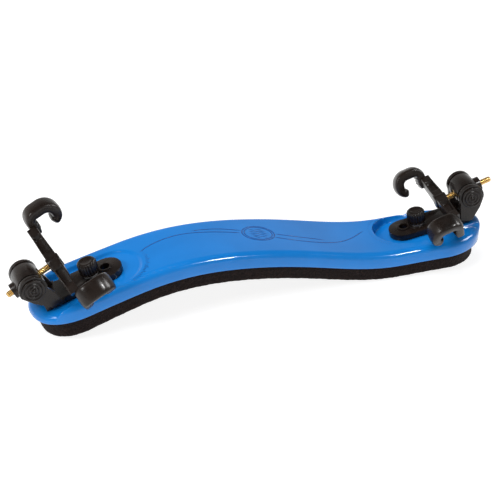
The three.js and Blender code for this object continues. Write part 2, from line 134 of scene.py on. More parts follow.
LINE_RADIUS, LINE_LIFT = 0.24, -0.06
STRAND_TIP, STRAND_TAPER = 0.25, 5  # share of the radius at a tip, and points that it grows over
OVAL_X, OVAL_OFFSET = -1.6, 1.4
OVAL_LENGTH, OVAL_WIDTH, OVAL_INNER = 8.4, 7.6, 0.86
OVAL_STEPS = 72
WAVE_ROWS, WAVE_PITCH = (-2, -1, 0, 1, 2), 1.9
WAVE_SPAN, WAVE_ROW_LIMIT = 0.62, 3.2
WAVE_HEIGHT, WAVE_TURN, WAVE_STEPS = 0.5, 0.52, 24
# Two flowing lines each side of the oval: distance along X, offset across.
FLOWING_LINES = (
    ((-34, 9.6), (-28, 9.4), (-19, 8), (-9.3, 4.9)),
    ((-63, 2.4), (-57, 5.4), (-49, 7.5), (-40, 8.2), (-30, 6.9), (-19, 4.6), (-10.4, 2.6)),
    ((7.1, 0.6), (13, -0.9), (20, -2.3), (33, -4.2)),
    ((5.6, -2.9), (12, -5), (20, -6.6), (30, -7.2), (39, -6), (48, -1.6), (58, 6.4)),
)
TICK_GAP, TICK_COUNT, TICK_RADIUS, TICK_LIFT = 1.9, 31, 0.2, -0.05
SHORT_TICK, LONG_TICK = 1.5, 2.2  # every third tick is long

FLUTE_DEPTH, FLUTE_SHARPNESS, STEPS_PER_FLUTE = 0.5, 1.6, 8
THREAD_PITCH, THREAD_DEPTH, THREAD_STEP, THREAD_SIDES = 0.7, 0.2, 0.1, 28
NOSE_SHARE, NOSE_LENGTH = 0.72, 0.8  # the shank's rounded free end

RECESS_RAMP = 1.6
BAR_STEPS = 110
SEAT_STEPS, BEND_STEPS, WALL_STEPS, HOOK_STEPS, TIP_STEPS = 14, 12, 7, 20, 10
CLAW_SQUARENESS = 0.42  # power of the claw's section; 1 is an ellipse, less is squarer
CLAW_CROWN = 0.3  # how far the outer face sinks at its sides
CLAW_NARROWING, CLAW_NARROWING_LENGTH = 0.07, 7  # towards the lip
LINING = 0.6  # thicker rubber inside the hook
LINING_START, LINING_FULL, LINING_END = 8, 13, 5
TEETH_START, TEETH_END, TOOTH_PITCH, TOOTH_HEIGHT = 1.1, 6.2, 1.7, 0.7

BEVEL_SEGMENTS, BEVEL_ANGLE, SHARP_ANGLE = 3, 32, 38
BODY_SHARP_ANGLE = 40

# ---- Camera and floor ----

LOOK_AT = (-6.148, 0, 18.459)  # millimetres, from the design's origin
VIEW_AZIMUTH, VIEW_ELEVATION, VIEW_ROLL = -19.24, 29.825, 0.25  # degrees
VIEW_DISTANCE = 534.73
SENSOR_WIDTH, FOCAL_LENGTH = 36, 75.62
FLOOR_HALF, FLOOR_CELLS, FLOOR_Z = 3000, 12, -0.2
# Brightness of the surroundings over the height of the direction, from level to straight up.
SKY_STOPS = ((0.0, 0.95), (0.4, 0.8), (0.62, 0.3), (1.0, 0.22))
SKY_STRENGTH = 0.6


def smoothstep(low, high, value):
    t = min(max((value - low) / (high - low), 0), 1)
    return t * t * (3 - 2 * t)


def mix(a, b, t):
    return a + (b - a) * t


# ---- Frames ----


def placed(x_axis, y_axis, z_axis, origin):
    rows = [list(column) for column in zip(x_axis, y_axis, z_axis, origin)]
    return Matrix(rows + [[0, 0, 0, 1]])


def end_frames(side):
    """The frames of one end's floor, pivot, folding group and fork."""
    inward = -Vector(JOINTS[f"{side}_width"]["axis"]).normalized()
    off_floor = Vector(JOINTS[f"{side}_knob_turn"]["axis"]).normalized()
    across = off_floor.cross(inward)
    floor = placed(inward, across, off_floor, JOINTS[f"{side}_knob_turn"]["pos_m"])
    pivot = placed(inward, across, off_floor, JOINTS[f"{side}_fold"]["pos_m"])
    along = Vector(JOINTS[f"{side}_height"]["axis"]).normalized()
    folding = placed(along, across, along.cross(across), JOINTS[f"{side}_fold"]["pos_m"])
    turn = Matrix.Rotation(math.radians(FORK_TURN[side]), 4, "X")
    fork = placed(along, across, along.cross(across), JOINTS[f"{side}_fork_turn"]["pos_m"]) @ turn
    return {"floor": floor, "pivot": pivot, "folding": folding, "fork": fork}


FRAMES = {side: end_frames(side) for side in SIDES}


def y_sign(side, label):
    """Which way along an end's own Y its near or far piece lies."""
    near = -1 if side == "left" else 1
    return near if label == "near" else -near


def hermite(x):
    """Height of the top face's middle line."""
    found = [i for i in range(len(SPINE) - 1) if x <= SPINE[i + 1][0]]
    i = found[0] if found else len(SPINE) - 2
    (x0, z0, slope0), (x1, z1, slope1) = SPINE[i], SPINE[i + 1]
    run = x1 - x0
    t = (x - x0) / run
    rise0 = math.tan(math.radians(slope0)) * run
    rise1 = math.tan(math.radians(slope1)) * run
    start = z0 * (2 * t**3 - 3 * t**2 + 1) + rise0 * (t**3 - 2 * t**2 + t)
    return start + z1 * (3 * t**2 - 2 * t**3) + rise1 * (t**3 - t**2)


def spine_side(x):
    """How far to the side the body's middle line runs."""
    return -SWEEP * abs(x / HALF_LENGTH) ** (LEFT_SWEEP_POWER if x < 0 else RIGHT_SWEEP_POWER)


def across_spine(x):
    """The horizontal direction square to the middle line."""
    heading = spine_side(x + 0.5) - spine_side(x - 0.5)
    return Vector((-heading, 1)).normalized()


def design_shift():
    """From the design's origin, which is the body's own, to the one under the whole object's box."""
    lowest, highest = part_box("body_shell")
    floor = FRAMES["left"]["floor"].translation / MM
    aside = across_spine(LEFT_X) * LEFT_OFFSET
    return Vector((
        (lowest.x + highest.x) / 2 / MM,
        floor.y - spine_side(LEFT_X) - aside.y,
        floor.z - hermite(LEFT_X) + FLOOR_DEPTH,
    ))


SHIFT = design_shift()
DESIGN = Matrix.Translation(SHIFT * MM)

# ---- Meshes ----


def new_object(name, data):
    obj = bpy.data.objects.new(name, data)
    bpy.context.scene.collection.objects.link(obj)
    return obj


def shade(obj, sharp=None):
    """Shades a piece smooth, with edges over an angle in degrees kept sharp."""
    for polygon in obj.data.polygons:
        polygon.use_smooth = True
    if sharp is not None:
        obj.data.set_sharp_from_angle(angle=math.radians(sharp))
    return obj


def mesh_object(name, points, faces, place, sharp=None):
    """A mesh from points in millimetres in the frame place, with its normals made outward."""
    mesh = bpy.data.meshes.new(name)
    mesh.from_pydata([place @ (Vector(p) * MM) for p in points], [], faces)
    bm = bmesh.new()
    bm.from_mesh(mesh)
    bmesh.ops.remove_doubles(bm, verts=bm.verts, dist=1e-7)
    bmesh.ops.recalc_face_normals(bm, faces=bm.faces)
    bm.to_mesh(mesh)
    bm.free()
    return shade(new_object(name, mesh), sharp)


def skin(loops, closed=False):
    """Points and faces of a skin over equal loops; closed joins the last loop to the first."""
    count = len(loops[0])
    points = [p for one in loops for p in one]
    faces = []
    rows = len(loops) if closed else len(loops) - 1
    for k in range(rows):
        this_row = k * count
        next_row = (k + 1) % len(loops) * count
        for j in range(count):
            n = (j + 1) % count
            faces.append((this_row + j, this_row + n, next_row + n, next_row + j))
    if not closed:
        faces.append(tuple(reversed(range(count))))
        faces.append(tuple(range((len(loops) - 1) * count, len(loops) * count)))
    return points, faces


def with_end_strips(loops, faces):
    """Faces of a skin over outlines, its two end faces replaced by strips from border to border."""
    count = len(loops[0])
    steps = count // 2
    top = (len(loops) - 1) * count
    near = [i if i in (0, steps) else count - i for i in range(steps + 1)]
    joined = faces[:-2]
    for i in range(steps):
        joined.append((top + near[i], top + near[i + 1], top + i + 1, top + i))
        joined.append((i, i + 1, near[i + 1], near[i]))
    return [tuple(dict.fromkeys(face)) for face in joined]


def turned(profile, axis, sides=48):
    """A solid of revolution from (radius, height) pairs, about the axis X, Y or Z."""
    loops = []
    for radius, height in profile:
        ring = []
        for i in range(sides):
            angle = 2 * math.pi * i / sides
            u, v = radius * math.cos(angle), radius * math.sin(angle)
            ring.append({"X": (height, u, v), "Y": (v, height, u), "Z": (u, v, height)}[axis])
        loops.append(ring)
    return skin(loops)


def merged(*parts):
    points, faces = [], []
    for part_points, part_faces in parts:
        start = len(points)
        points += part_points
        faces += [tuple(start + i for i in face) for face in part_faces]
    return points, faces


def apply_modifiers(obj):
    graph = bpy.context.evaluated_depsgraph_get()
    mesh = bpy.data.meshes.new_from_object(obj.evaluated_get(graph))
    old = obj.data
    obj.modifiers.clear()
    obj.data = mesh
    bpy.data.meshes.remove(old)
    return obj


def boolean(obj, cutters, operation="DIFFERENCE"):
    for cutter in cutters:
        modifier = obj.modifiers.new("cut", "BOOLEAN")
        modifier.operation = operation
        modifier.solver = "EXACT"
        modifier.object = cutter
    apply_modifiers(obj)
    for cutter in cutters:
        bpy.data.objects.remove(cutter)
    return obj


def softened(node, width, name):
    """A copy of a CAD node with its edges rounded, for moulded pieces whose CAD shape is right."""
    mesh = frame["nodes"][node].data.copy()
    bm = bmesh.new()
    bm.from_mesh(mesh)
    bmesh.ops.remove_doubles(bm, verts=bm.verts, dist=1e-6)
    bmesh.ops.dissolve_limit(bm, angle_limit=math.radians(1), verts=bm.verts, edges=bm.edges)
    bm.to_mesh(mesh)
    bm.free()
    mesh.materials.clear()
    if "custom_normal" in mesh.attributes:
        mesh.attributes.remove(mesh.attributes["custom_normal"])
    obj = new_object(name, mesh)
    bevel = obj.modifiers.new("rounding", "BEVEL")
    bevel.width = width * MM
    bevel.segments = BEVEL_SEGMENTS
    bevel.limit_method = "ANGLE"
    bevel.angle_limit = math.radians(BEVEL_ANGLE)
    bevel.harden_normals = False
    return shade(apply_modifiers(obj), SHARP_ANGLE)


def cutter_box(bounds_mm, place):
    (x0, x1), (y0, y1), (z0, z1) = bounds_mm
    lower = [(x0, y0, z0), (x1, y0, z0), (x1, y1, z0), (x0, y1, z0)]
    upper = [(x, y, z1) for x, y, _ in lower]
    points, faces = skin([lower, upper])
    return mesh_object("cutter", points, faces, place)


def cutter_rod(radius, start, end, axis, place):
    points, faces = turned([(radius, start), (radius, end)], axis, 32)
    return mesh_object("bore", points, faces, place)


# ---- Materials ----


class Nodes:
    """A small helper for a material's node tree."""

    def __init__(self, name):
        self.material = bpy.data.materials.new(name)
        self.material.use_nodes = True
        self.tree = self.material.node_tree
        self.shader = self.tree.nodes["Principled BSDF"]
        self.place = self.add("ShaderNodeTexCoord").outputs["Object"]

    def add(self, kind, **values):
        node = self.tree.nodes.new(kind)
        for key, value in values.items():
            setattr(node, key, value)
        return node

    def link(self, output, socket):
        self.tree.links.new(output, socket)

    def noise(self, scale, detail=4, roughness=0.55, stretch=None):
        node = self.add("ShaderNodeTexNoise")
        node.inputs["Scale"].default_value = scale
        node.inputs["Detail"].default_value = detail
        node.inputs["Roughness"].default_value = roughness
        if stretch:
            mapping = self.add("ShaderNodeMapping")
            mapping.inputs["Scale"].default_value = stretch
            self.link(self.place, mapping.inputs["Vector"])
            self.link(mapping.outputs["Vector"], node.inputs["Vector"])
        else:
            self.link(self.place, node.inputs["Vector"])
        return node.outputs["Fac"]

    def cells(self, scale):
        node = self.add("ShaderNodeTexVoronoi", feature="F1")
        node.inputs["Scale"].default_value = scale
        self.link(self.place, node.inputs["Vector"])
        return node.outputs["Distance"]

    def ramp(self, factor, *stops):
        node = self.add("ShaderNodeValToRGB")
        elements = node.color_ramp.elements
        while len(elements) < len(stops):
            elements.new(0.5)
        for element, (position, colour) in zip(elements, stops):
            element.position = position
            element.color = (*colour, 1)
        self.link(factor, node.inputs["Fac"])
        return node.outputs["Color"]

    def spread(self, factor, low, high):
        """Stretches a noise's usual range, 0.3 to 0.7, to low to high."""
        node = self.add("ShaderNodeMapRange")
        node.inputs["From Min"].default_value = 0.3
        node.inputs["From Max"].default_value = 0.7
        node.inputs["To Min"].default_value = low
        node.inputs["To Max"].default_value = high
        self.link(factor, node.inputs["Value"])
        return node.outputs["Result"]

    def bump(self, heights):
        """Chained bumps from (height output, strength, distance in mm) rows."""
        normal = None
        for height, strength, distance in heights:
            node = self.add("ShaderNodeBump")
            node.inputs["Strength"].default_value = strength
            node.inputs["Distance"].default_value = distance * MM
            self.link(height, node.inputs["Height"])
            if normal:
                self.link(normal, node.inputs["Normal"])
            normal = node.outputs["Normal"]
        self.link(normal, self.shader.inputs["Normal"])

    def set(self, **values):
        for key, value in values.items():
            self.shader.inputs[key.replace("_", " ")].default_value = value


def blue_plastic(name, dark, light, roughness):
    m = Nodes(name)
    m.link(m.ramp(m.noise(38, 3), (0.3, dark), (0.7, light)), m.shader.inputs["Base Color"])
    m.link(m.spread(m.noise(420, 5), *roughness), m.shader.inputs["Roughness"])
    m.bump([
        (m.noise(160, 2), 0.08, 0.2),
        (m.noise(1400, 3, 0.6), 0.02, 0.03),
        (m.noise(900, 6, 0.7, (1, 9, 1)), 0.02, 0.04),
    ])
    m.set(Coat_Weight=0.12, Coat_Roughness=0.1, IOR=1.46, Specular_IOR_Level=0.34)
    return m.material


def foam_material():
    m = Nodes("foam_black_brown")
    grain = m.noise(900, 6, 0.7)
    # The same grain sets the colour and the bump's height, so the colour follows depth: near black as
    # painted shade in the low pits, lighter as a painted highlight on the raised points, and the foam's
    # own brown-black between.
    painted_pit_shade, wall, painted_tip_highlight = (0.003, 0.0015, 0.0015), (0.012, 0.006, 0.005), (0.04, 0.022, 0.018)
    m.link(
        m.ramp(grain, (0.32, painted_pit_shade), (0.55, wall), (0.78, painted_tip_highlight)),
        m.shader.inputs["Base Color"],
    )
    m.link(m.spread(m.noise(300, 4), 0.86, 1), m.shader.inputs["Roughness"])
    m.bump([(m.cells(1500), 0.8, 0.35), (grain, 0.7, 0.3), (m.noise(220, 3), 0.3, 0.4)])
    m.set(Sheen_Weight=0.05, Sheen_Roughness=0.6, Specular_IOR_Level=0.12)
    return m.material


def black_material(name, dark, light, roughness, grain, coat=0.0):
    m = Nodes(name)
    m.link(m.ramp(m.noise(95, 5, 0.6), (0.32, dark), (0.72, light)), m.shader.inputs["Base Color"])
    m.link(m.spread(m.noise(260, 5, 0.65), *roughness), m.shader.inputs["Roughness"])
    m.bump([(m.noise(grain, 4, 0.6), 0.22, 0.08), (m.noise(140, 3), 0.15, 0.25)])
    m.set(Coat_Weight=coat, Coat_Roughness=0.2, Specular_IOR_Level=0.28)
    return m.material


def metal_material(name, dark, light, roughness):
    m = Nodes(name)
    m.link(m.ramp(m.noise(210, 5, 0.6), (0.3, dark), (0.7, light)), m.shader.inputs["Base Color"])
    m.link(m.spread(m.noise(900, 4), *roughness), m.shader.inputs["Roughness"])
    m.bump([(m.noise(1500, 4, 0.6, (1, 6, 6)), 0.12, 0.04)])
    m.set(Metallic=1.0)
    return m.material


WARM_BLACK = (0.005, 0.0028, 0.002)
SATIN = (0.22, 0.36)
MATERIALS = {
    "blue_plastic": blue_plastic(
        "blue_moulded_plastic", (0.003, 0.19, 0.61), (0.006, 0.22, 0.69), (0.1, 0.17)
    ),
    "blue_line": blue_plastic(
        "blue_engraved_line", (0.002, 0.04, 0.22), (0.004, 0.06, 0.28), (0.4, 0.5)
    ),
    "foam": foam_material(),
    "black_plastic": black_material(
        "black_moulded_plastic", WARM_BLACK, (0.017, 0.0105, 0.008), SATIN, 1300, 0.12
    ),
    "claw_rubber": black_material(
        "claw_black_rubber", WARM_BLACK, (0.019, 0.0115, 0.0085), SATIN, 800, 0.14
    ),
    "brass": metal_material("turned_brass", (0.6, 0.36, 0.1), (0.88, 0.6, 0.24), (0.2, 0.34)),
    "steel": metal_material(
        "zinc_plated_steel", (0.42, 0.43, 0.45), (0.6, 0.61, 0.63), (0.26, 0.42)
    ),
    "nylon": black_material(
        "black_nylon", (0.003, 0.003, 0.003), (0.01, 0.009, 0.008), (0.5, 0.65), 700
    ),
}


def own(obj, body, material, slot, *nodes):
    """Gives a piece its material, hides the CAD nodes it stands for and hangs it on the body it rides
    on; slot is not used.
    """
    obj.data.materials.clear()
    obj.data.materials.append(MATERIALS[material])
    if nodes:
        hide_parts(*nodes)
    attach(obj, body)
    return obj


# ---- Body ----


def taper(distance, length, power):
    inside = min(max(1 - distance / length, 0), 1)
    return (1 - inside**power) ** (1 / power)


def outline(inset, left, right, length, steps):
    """The body's border, inset from its sides and tips, as (x, y, place on the spine) rows."""
    x0, x1 = -HALF_LENGTH + left, HALF_LENGTH - right
    far, near = [], []
    for i in range(steps + 1):
        t = i / steps
        even = 2 * t - 1
        bunched = math.sin(math.pi * (t - 0.5))
        bunching = smoothstep(0.62, 0.98, abs(even)) * 0.55 + 0.45
        x = (x0 + x1) / 2 + (x1 - x0) / 2 * mix(even, bunched, bunching)
        left_end = (HALF_WIDTH - inset) * taper(x - x0, length, LEFT_POWER)
        out = across_spine(x) * (left_end * taper(x1 - x, length, RIGHT_POWER))
        far.append((x + out.x, spine_side(x) + out.y, x))
        near.append((x - out.x, spine_side(x) - out.y, x))
    return far + near[1:-1][::-1]


# How each end's pocket lies on the body: the way to its floor's frame, and the floor's plane.
TO_FLOOR = {side: FRAMES[side]["floor"].inverted() for side in SIDES}
PLANES = {
    side: (
        FRAMES[side]["floor"].translation / MM - SHIFT,
        FRAMES[side]["floor"].col[2].xyz,
    )
    for side in SIDES
}


def floor_height(side, x, y):
    origin, up = PLANES[side]
    return origin.z - (up.x * (x - origin.x) + up.y * (y - origin.y)) / up.z


def pocket_place(side, x, y, z):
    point = TO_FLOOR[side] @ ((Vector((x, y, z)) + SHIFT) * MM)
    return point.x / MM, point.y / MM


def pocket_distance(along, aside):
    if along > POCKET_CENTRE:
        return math.hypot(along - POCKET_CENTRE, aside) - POCKET_RADIUS
    return abs(aside) - POCKET_RADIUS


def top_height(x, y, along):
    """Height of the body's top face: its curved spine, sunk to a flat floor at both ends."""
    base = hermite(along)
    side = "left" if x < 0 else "right"
    if abs(x) < POCKET_FROM:
        return base
    plane = floor_height(side, x, y)
    fx, fy = pocket_place(side, x, y, plane)
    inside = 1 - smoothstep(-POCKET_LIP, POCKET_LIP, pocket_distance(fx, fy))
    if plane > base:
        inside *= 1 - smoothstep(PAD_HALF_WIDTH - 1.2, PAD_HALF_WIDTH + 0.4, abs(fy))
    return mix(base, plane, inside)


def body_rows():
    """Inset from the outline and drop below the top, from the foot over the rim to the middle."""
    rows = [(FOOT_INSET, WALL), (0, WALL - FOOT_RISE), (0, EDGE_DROP)]
    for i in range(1, RIM_STEPS + 1):
        angle = math.pi / 2 * i / RIM_STEPS
        rows.append((EDGE_WIDTH * (1 - math.cos(angle)), EDGE_DROP * (1 - math.sin(angle))))
    for i in range(1, TOP_STEPS + 1):
        rows.append((mix(EDGE_WIDTH, HALF_WIDTH - MIDDLE_GAP, i / TOP_STEPS), 0))
    return rows


def body_shell():
    loops = []
    for row, (inset, drop) in enumerate(body_rows()):
        length = END_ROUND - ROUND_LOSS * inset
        loop = []
        for x, y, spine_x in outline(inset, inset, inset, length, OUTLINE_STEPS):
            height = hermite(spine_x) if row < FOOT_ROWS else top_height(x, y, spine_x)
            loop.append((x, y, height - drop))
        loops.append(loop)
    points, faces = skin(loops)
    shell = mesh_object("blue_body", points, with_end_strips(loops, faces), DESIGN)
    cutters = []
    for side in SIDES:
        for bounds in (SLOT_BOX, CHANNEL_BOX):
            cutters.append(cutter_box(bounds, FRAMES[side]["floor"]))
    shade(boolean(shell, cutters), BODY_SHARP_ANGLE)
    return own(shell, "body", "blue_plastic", "blue_plastic", "body_shell")


def on_top(x, offset, lift):
    """A point over the top face, at a distance across from its middle line."""
    across = across_spine(x) * offset
    px, py = x + across.x, spine_side(x) + across.y
    return Vector((px, py, top_height(px, py, x) + lift))


def smooth_path(knots, steps):
    """Points on a Catmull-Rom curve through the knots."""
    ends = [2 * knots[0] - knots[1], *knots, 2 * knots[-1] - knots[-2]]
    out = []
    for i in range(1, len(ends) - 2):
        a, b, c, d = ends[i - 1 : i + 3]
        for k in range(steps):
            t = k / steps
            out.append(
                0.5 * (2 * b + (c - a) * t + (2 * a - 5 * b + 4 * c - d) * t * t
                       + (3 * b - a - 3 * c + d) * t**3)
            )
    return out + [knots[-1]]


def strand(path, radius, closed=False, sides=8):
    """A thin round bead along a path, tapered at open ends."""
    loops = []
    last = len(path) - 1
    for i, point in enumerate(path):
        before = path[i - 1] if i or closed else path[0]
        after = path[(i + 1) % len(path)] if i < last or closed else path[-1]
        along = (after - before).normalized()
        aside = along.cross(Vector((0, 0, 1))).normalized()
        up = aside.cross(along)
        share = 1 if closed else min(1, STRAND_TIP + min(i, last - i) / STRAND_TAPER)
        ring = []
        for j in range(sides):
            angle = 2 * math.pi * j / sides
            spoke = aside * math.cos(angle) + up * math.sin(angle)
            ring.append(tuple(point + spoke * radius * share))
        loops.append(ring)
    return skin(loops, closed)


def oval_ring(share):
    ring = []
    for i in range(OVAL_STEPS):
        angle = 2 * math.pi * i / OVAL_STEPS
        x = OVAL_X + OVAL_LENGTH * share * math.cos(angle)
        offset = OVAL_OFFSET + OVAL_WIDTH * share * math.sin(angle)
        ring.append(on_top(x, offset, LINE_LIFT))
    return ring


def wavy_row(k):
    """A wavy line across the oval, k rows from its middle."""
    span = WAVE_SPAN * math.sqrt(1 - (k / WAVE_ROW_LIMIT) ** 2) * OVAL_LENGTH
    row = []
    for i in range(WAVE_STEPS + 1):
        x = OVAL_X + mix(-span, span, i / WAVE_STEPS)
        offset = OVAL_OFFSET + k * WAVE_PITCH + WAVE_HEIGHT * math.sin(i * WAVE_TURN)
        row.append(on_top(x, offset, LINE_LIFT))
    return row


def line_art():
    """A plain oval with flowing lines, as fine beads on the top face."""
    parts = [strand(oval_ring(share), LINE_RADIUS, closed=True) for share in (1, OVAL_INNER)]
    for line in FLOWING_LINES:
        flat = smooth_path([Vector((x, offset, 0)) for x, offset in line], 14)
        parts.append(strand([on_top(p.x, p.y, LINE_LIFT) for p in flat], LINE_RADIUS))
    for k in WAVE_ROWS:
        parts.append(strand(wavy_row(k), LINE_RADIUS * 0.8))
    points, faces = merged(*parts)
    lines = mesh_object("oval_line_art", points, faces, DESIGN)
    return own(lines, "body", "blue_line", "blue_plastic")


def tick_arc(side, first, last):
    """Short plain ticks on an arc round a pocket, between two angles in degrees."""
    parts = []
    centre = FRAMES[side]["floor"] @ (Vector((POCKET_CENTRE, 0, 0)) * MM) / MM - SHIFT
    inner = POCKET_RADIUS + TICK_GAP
    for i in range(TICK_COUNT):
        angle = math.radians(mix(first, last, i / (TICK_COUNT - 1)))
        outer = inner + (SHORT_TICK if i % 3 else LONG_TICK)
        path = []
        for k in range(4):
            r = mix(inner, outer, k / 3)
            x, y = centre.x + r * math.cos(angle), centre.y + r * math.sin(angle)
            path.append(Vector((x, y, top_height(x, y, x) + TICK_LIFT)))
        parts.append(strand(path, TICK_RADIUS, sides=6))
    return merged(*parts)


def tick_marks():
    points, faces = merged(tick_arc("left", -66, 52), tick_arc("right", 128, 246))
    ticks = mesh_object("pocket_tick_marks", points, faces, DESIGN)
    return own(ticks, "body", "blue_line", "blue_plastic")


# ---- Foam pad ----


def foam_pad():
    """The pad: a soft-edged slab with a slightly hollowed side and an uneven cut surface."""
    rows = (
        (2.6, WALL + 0.3),
        (2.2, WALL + 0.6),
        (2.1, WALL + 2),
        (2.35, WALL + 4),
        (2.3, WALL + 5.6),
        (2.1, WALL + 6.9),
        (2.35, WALL + 7.7),
        (2.9, WALL + 8.15),
        (3.8, WALL + FOAM),
        (7, WALL + FOAM),
        (12, WALL + FOAM),
        (17, WALL + FOAM),
    )
    phases = np.random.default_rng(7).uniform(0, 2 * math.pi, 6)
    slow_phase, quick_phase = phases[:2]
    loops = []
    for inset, drop in rows:
        loop = []
        share = (drop - WALL) / FOAM
        left, right = inset + FOAM_LEFT_GAP, inset + FOAM_RIGHT_GAP
        length = FOAM_ROUND - FOAM_ROUND_LOSS * (inset - FOAM_INSET)
        for i, (x, y, spine_x) in enumerate(outline(inset, left, right, length, FOAM_STEPS)):
            extra = smoothstep(-FOAM_EXTRA_START, HALF_LENGTH, -spine_x) * FOAM_EXTRA
            slow = 0.05 * math.sin(i * 0.61 + slow_phase + drop)
            quick = 0.04 * math.sin(i * 1.7 + quick_phase + 3 * drop)
            ripple = slow + quick
            z = hermite(spine_x) - drop - extra * share + ripple * share
            loop.append((x, y + ripple * 0.5, z))
        loops.append(loop)
    points, faces = skin(loops)
    pad = mesh_object("foam_cushion", points, with_end_strips(loops, faces), DESIGN, sharp=60)
    own(pad, "body", "foam", "foam", "foam_pad")
    return pad


# ---- Thumb knob, pivot and shank ----


def thumb_knob(side):
    """A knob with rounded flutes, a bevelled foot and a dished crown."""
    profile = (
        (0, KNOB_BASE),
        (3.4, KNOB_BASE),
        (4.2, KNOB_BASE),
        (4.65, KNOB_BASE + 0.25),
        (KNOB_RADIUS, KNOB_BASE + 0.7),
        (KNOB_RADIUS, KNOB_TOP - 1.5),
        (4.72, KNOB_TOP - 1),
        (4.35, KNOB_TOP - 0.45),
        (3.9, KNOB_TOP - 0.12),
        (3.3, KNOB_TOP),
        (2.7, KNOB_TOP - 0.1),
        (2.2, KNOB_TOP - 0.35),
        (1.2, KNOB_TOP - 0.5),
        (0, KNOB_TOP - 0.52),
    )
    place = FRAMES[side]["floor"]
    loops = []
    for radius, z in profile:
        depth = FLUTE_DEPTH * smoothstep(3.7, 4.75, radius)
        ring = []
        for i in range(FLUTES * STEPS_PER_FLUTE):
            angle = 2 * math.pi * i / (FLUTES * STEPS_PER_FLUTE)
            groove = (0.5 - 0.5 * math.cos(angle * FLUTES)) ** FLUTE_SHARPNESS
            r = max(radius - depth * groove, 0.02)
            ring.append((r * math.cos(angle), r * math.sin(angle), z))
        loops.append(ring)
    points, faces = skin(loops)
    knob = mesh_object(f"{side}_fluted_knob", points, faces, place, sharp=50)
    boolean(knob, [cutter_rod(KNOB_BORE, KNOB_BASE - 1, KNOB_TOP - KNOB_ROOF, "Z", place)])
    return own(knob, f"{side}_knob", "black_plastic", "black_plastic", f"{side}_thumb_knob")


def pivot_plug(side, label):
    """A ringed cap with its stub pin, lying along Y in the pivot's frame."""
    outward = y_sign(side, label)
    face = EAR_OUTER + GAP
    profile = [
        (0.05, PLUG_INNER),
        (1.9, PLUG_INNER),
        (PLUG_RADIUS, 3.4),
        (PLUG_RADIUS, face),
        (5.3, face),
        (CAP_RADIUS, face + 0.15),
        (CAP_RADIUS, face + 0.55),
        (5.45, face + 0.75),
        (5.0, face + 0.85),
        (4.6, face + 0.75),
        (4.4, face + 0.45),
        (4.2, face + 0.4),
        (4.0, face + 0.45),
        (3.8, face + 0.85),
        (3.4, face + 0.98),
        (3.0, face + 0.85),
        (2.8, face + 0.5),
        (2.5, face + 0.45),
        (2.3, face + 0.55),
        (2.1, face + 0.95),
        (1.75, face + 1.08),
        (1.4, face + 0.95),
        (1.2, face + 0.6),
        (0.9, face + 0.55),
        (0.6, face + 0.95),
        (0.05, face + 1.05),
    ]
    points, faces = turned([(r, outward * y) for r, y in profile], "Y", 56)
    plug = mesh_object(f"{side}_{label}_ringed_cap", points, faces, FRAMES[side]["pivot"], sharp=55)
    return own(plug, f"{side}_bracket", "black_plastic", "black_plastic", f"{side}_{label}_pivot_plug")


def threaded_shank(side):
    """A rod with a real helical thread, rounded off at its free end."""
    start, end = SHANK_ENDS[side]
    count = round((end - start) / THREAD_STEP)
    loops = []
    for k in range(count + 1):
        x = mix(start, end, k / count)
        nose = min(1, NOSE_SHARE + (x - start) / NOSE_LENGTH * (1 - NOSE_SHARE))
        ring = []
        for j in range(THREAD_SIDES):
            angle = 2 * math.pi * j / THREAD_SIDES
            wave = abs(((x / THREAD_PITCH - j / THREAD_SIDES) % 1) * 2 - 1)
            r = (SHANK_RADIUS - THREAD_DEPTH * smoothstep(0.1, 0.9, wave)) * nose
            ring.append((x, r * math.cos(angle), r * math.sin(angle)))
        loops.append(ring)
    points, faces = skin(loops)
    rod = mesh_object(f"{side}_threaded_shank", points, faces, FRAMES[side]["folding"])
    return own(rod, f"{side}_shank", "brass", "brass", f"{side}_shank")


# ---- Fork ----


def arm_section(y):
    """The crossbar's I-shaped section at a distance from its middle: a list of (x, z)."""
    reach = abs(y)
    slimming = smoothstep(BAR_TAPER_START, BAR_TAPER_END, reach)
    half_x = mix(BAR_HALF_WIDTH, BAR_TIP_HALF_WIDTH, slimming)
    half_z = mix(BAR_HALF_HEIGHT, BAR_TIP_HALF_HEIGHT, slimming)
    begun = smoothstep(RECESS_START, RECESS_START + RECESS_RAMP, reach)
    ended = smoothstep(RECESS_END - RECESS_RAMP, RECESS_END, reach)
    depth = (half_z - 1.15) * (begun * (1 - ended))
    rounding = min(1, depth)
    web = half_x - 0.95
    corner = 0.45
    quarter = [
        (half_x, half_z - corner),
        (half_x - 0.12, half_z - 0.14),
        (half_x - corner, half_z),
        (web + 0.22, half_z),
        (web + 0.06, half_z - 0.08 * rounding),
        (web, half_z - 0.25 * rounding),
        (web, half_z - max(depth - 0.4, 0.25 * rounding)),
        (web - 0.12, half_z - max(depth - 0.12, 0.25 * rounding)),
        (web - 0.4, half_z - depth),
    ]
    top = quarter + [(-x, z) for x, z in reversed(quarter)]
    return top + [(-x, -z) for x, z in top]


def claw_place(side, sign):
    """A claw's frame: at the end of an arm, tilted about the shank's direction."""
    place = Matrix.Translation(Vector((0, sign * CLAW_Y, CLAW_Z)) * MM)
    return FRAMES[side]["fork"] @ place @ Matrix.Rotation(math.radians(-sign * CLAW_TILT), 4, "X")


